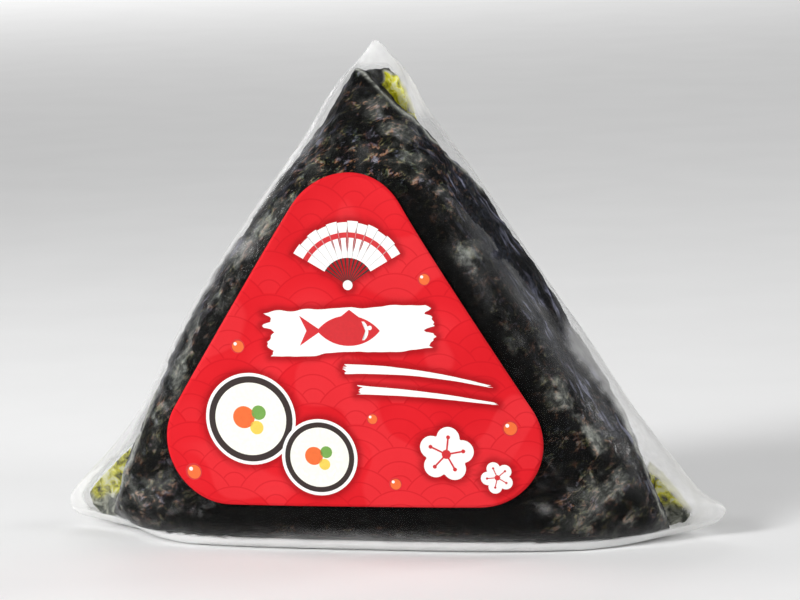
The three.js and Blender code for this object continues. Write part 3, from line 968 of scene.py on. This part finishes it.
def make_roll_prints():
    """Two sliced rolls: dark rim, rice with a few grains, and a filling of three parts."""
    printed = []
    for k, (centre, radius) in enumerate((((-15.6, 20.4), 6.6), ((-5.0, 14.6), 5.4))):
        centre = np.array(centre)
        layer = 1 + 2 * k
        edge, rim, rice = (disc(centre, size, 60) for size in (radius + 0.5, radius, radius * 0.85))
        grains = []
        for j in range(22):
            turn, out = math.radians(j * 137.5 + 40 * k), radius * (0.5 + 0.3 * ((j * 0.618) % 1))
            place = centre + out * np.array([math.cos(turn), math.sin(turn)])
            grain = disc((0, 0), 1, 10) * [0.42, 0.2]
            cos, sin = math.cos(turn * 3), math.sin(turn * 3)
            grains.append(place + grain @ np.array([(cos, sin), (-sin, cos)]))
        printed += [
            print_shapes(f"roll_edge_{k}", [edge], "white", layer),
            print_shapes(f"roll_rim_{k}", [rim], "brown", layer + 0.5),
            print_shapes(f"roll_rice_{k}", [rice], "rice", layer + 1),
            print_shapes(f"roll_grains_{k}", grains, "white", layer + 1.5),
        ]
        for ink, away, size in (("orange", (-0.16, 0.04), 0.26), ("green", (0.2, 0.15), 0.17),
                                ("yellow", (0.14, -0.2), 0.16)):
            spot = disc(centre + radius * np.array(away), radius * size, 28)
            printed.append(print_shapes(f"roll_{ink}_{k}", [spot], ink, layer + 1.7))
    return printed


def make_blossom_prints():
    """Two plum blossoms at the lower right."""
    petals, hearts, stamens = [], [], []
    for centre, radius, turn in (((14.6, 15.2), 4.4, 10), ((22.2, 11.6), 2.6, 40)):
        centre = np.array(centre)
        angles = np.radians(np.arange(0, 360, 4))
        off = (angles - math.radians(turn) + math.pi / 5) % (math.tau / 5) - math.pi / 5
        reach = 0.56 * np.cos(off) + np.sqrt(0.4 ** 2 - (0.56 * np.sin(off)) ** 2)
        ways = np.stack([np.cos(angles), np.sin(angles)], 1)
        petals.append(centre + radius * reach[:, None] * ways)
        hearts.append(disc(centre, radius * 0.16, 20))
        for k in range(5):
            angle = math.radians(turn + 72 * k)
            way = np.array([math.cos(angle), math.sin(angle)])
            across = radius * 0.03 * np.array([-way[1], way[0]])
            tip, foot = centre + way * radius * 0.6, centre + way * radius * 0.1
            stamens += [[foot - across, tip - across, tip + across, foot + across]]
            stamens += [disc(tip, radius * 0.07, 12)]
    return [
        print_shapes("blossom_petals", petals, "white", 1),
        print_shapes("blossom_stamens", stamens, "red", 2),
        print_shapes("blossom_hearts", hearts, "red", 3),
    ]


def make_bead_prints():
    """Salmon roe scattered over the label: orange with a pale glint."""
    beads = (((-17.2, 31.6), 1.0), ((12.0, 41.8), 0.9), ((24.4, 19.2), 1.1), ((6.6, 10.6), 0.9),
             ((-25.2, 12.0), 1.2), ((3.4, 20.6), 0.8))
    rims = [disc(centre, radius * 1.12, 28) for centre, radius in beads]
    bodies = [disc(np.array(centre) + [0.06, -0.06], radius * 0.9, 28) for centre, radius in beads]
    glints = [disc(np.array(centre) + np.array([-0.35, 0.35]) * radius, radius * 0.26, 14)
              for centre, radius in beads]
    print_shapes("bead_rims", rims, "red", 1)
    print_shapes("beads", bodies, "orange", 2)
    print_shapes("bead_glints", glints, "white", 3)


def make_stroke_prints():
    """Two tapering strokes, like a pair of chopsticks."""
    strokes = [brush_stroke((-0.6, 28.2), (21.6, 25.6), 1.5, 13, 0.75, 0.7, 0.35),
               brush_stroke((1.6, 25.0), (22.6, 22.9), 1.4, 23, 0.75, 0.3, 0.35)]
    return [print_strokes("strokes", strokes, "white", 1)]


# Stage, light and camera

def make_stage():
    """A pale floor, wide enough to fill the view behind the pack."""
    n = Nodes("stage")
    grain = n.noise(n.position(), 35, 2, 0.5)
    pale = n.ramp(grain, [(0.3, (0.80, 0.80, 0.80)), (0.7, (0.82, 0.82, 0.82))])
    half, low = 4.0, -0.0001
    mesh = bpy.data.meshes.new("floor")
    corners = [(-half, -half, low), (half, -half, low), (half, half, low), (-half, half, low)]
    mesh.from_pydata(corners, [], [(0, 1, 2, 3)])
    mesh.materials.append(n.finish(n.principled(pale, 0.7, specular=0.2)))
    floor = bpy.data.objects.new("floor", mesh)
    bpy.context.scene.collection.objects.link(floor)


def direction(azimuth, elevation):
    """The way out from the pack. Azimuth 0 is in front of the label, 90 on its right."""
    azimuth, elevation = math.radians(azimuth), math.radians(elevation)
    return Vector((math.sin(azimuth) * math.cos(elevation),
                   -math.cos(azimuth) * math.cos(elevation), math.sin(elevation)))


def softbox(name, azimuth, elevation, distance, size, power, aim=(0, 0, 0.03), spread=180):
    """A soft light that looks at aim, from a distance in metres, with its power in watts."""
    outward = direction(azimuth, elevation)
    data = bpy.data.lights.new(name, "AREA")
    data.shape = "RECTANGLE"
    data.size, data.size_y = size
    data.energy = power
    data.spread = math.radians(spread)
    light = bpy.data.objects.new(name, data)
    light.location = Vector(aim) + outward * distance
    light.rotation_euler = outward.to_track_quat("Z", "Y").to_euler()
    bpy.context.scene.collection.objects.link(light)


def make_lights():
    softbox("key", -42, 24, 1.1, (0.4, 0.4), 1.15, spread=50)
    softbox("right", 66, 26, 0.6, (0.12, 0.3), 1.0)
    softbox("rim", 118, 9, 1.2, (0.3, 0.3), 9.5)
    softbox("left", -98, 35, 0.43, (0.1, 0.3), 0.5)
    softbox("far", 180, 80, 0.7, (1.8, 0.4), 17.0, (-1.0, 1.5, 0))
    world = bpy.data.worlds.new("studio")
    world.use_nodes = True
    background = world.node_tree.nodes["Background"]
    background.inputs["Color"].default_value = (1, 1, 1, 1)
    background.inputs["Strength"].default_value = 0.2
    bpy.context.scene.world = world


def make_camera():
    """The camera of the photo, with the point that it aims at on its own pixel."""
    azimuth, roll = math.radians(CAMERA_AZIMUTH), math.radians(CAMERA_ROLL)
    back = direction(CAMERA_AZIMUTH, CAMERA_ELEVATION)
    level = Vector((math.cos(azimuth), math.sin(azimuth), 0))
    upright = back.cross(level)
    right = level * math.cos(roll) - upright * math.sin(roll)
    up = level * math.sin(roll) + upright * math.cos(roll)
    move_right = (IMAGE_WIDTH / 2 - AIM_PIXEL[0]) * MM_PER_PIXEL
    move_up = (AIM_PIXEL[1] - IMAGE_HEIGHT / 2) * MM_PER_PIXEL
    target = (Vector(AIM_POINT) + right * move_right + up * move_up) * MM
    data = bpy.data.cameras.new("camera")
    data.sensor_width = 36
    data.lens = CAMERA_DISTANCE / MM_PER_PIXEL / IMAGE_WIDTH * data.sensor_width
    data.clip_start = 0.01
    camera = bpy.data.objects.new("camera", data)
    place = target + back * CAMERA_DISTANCE * MM
    turn = Matrix((right, up, back)).transposed().to_4x4()
    camera.matrix_world = Matrix.Translation(place) @ turn
    bpy.context.scene.collection.objects.link(camera)
    bpy.context.scene.camera = camera


MATERIALS = {
    "seaweed": seaweed_material(),
    "seaweed_edge": seaweed_edge_material(),
    "film": film_material(),
    "label_paper": label_material(),
}
INKS = {ink: plain_print("print_" + ink, colour) for ink, colour in INK_COLOURS.items()}

inside = [make_seaweed()]
for tab, (outline, depth) in SEAWEED_TABS.items():
    inside.append(make_seaweed_tab(tab, outline, depth))
make_film(np.concatenate(inside))
printed = make_fan_print() + make_fish_print() + make_roll_prints() + make_blossom_prints()
printed += make_stroke_prints()
make_bead_prints()
make_label(np.concatenate(printed))
make_stage()
make_lights()
make_camera()
bpy.context.scene.view_settings.view_transform = "Standard"
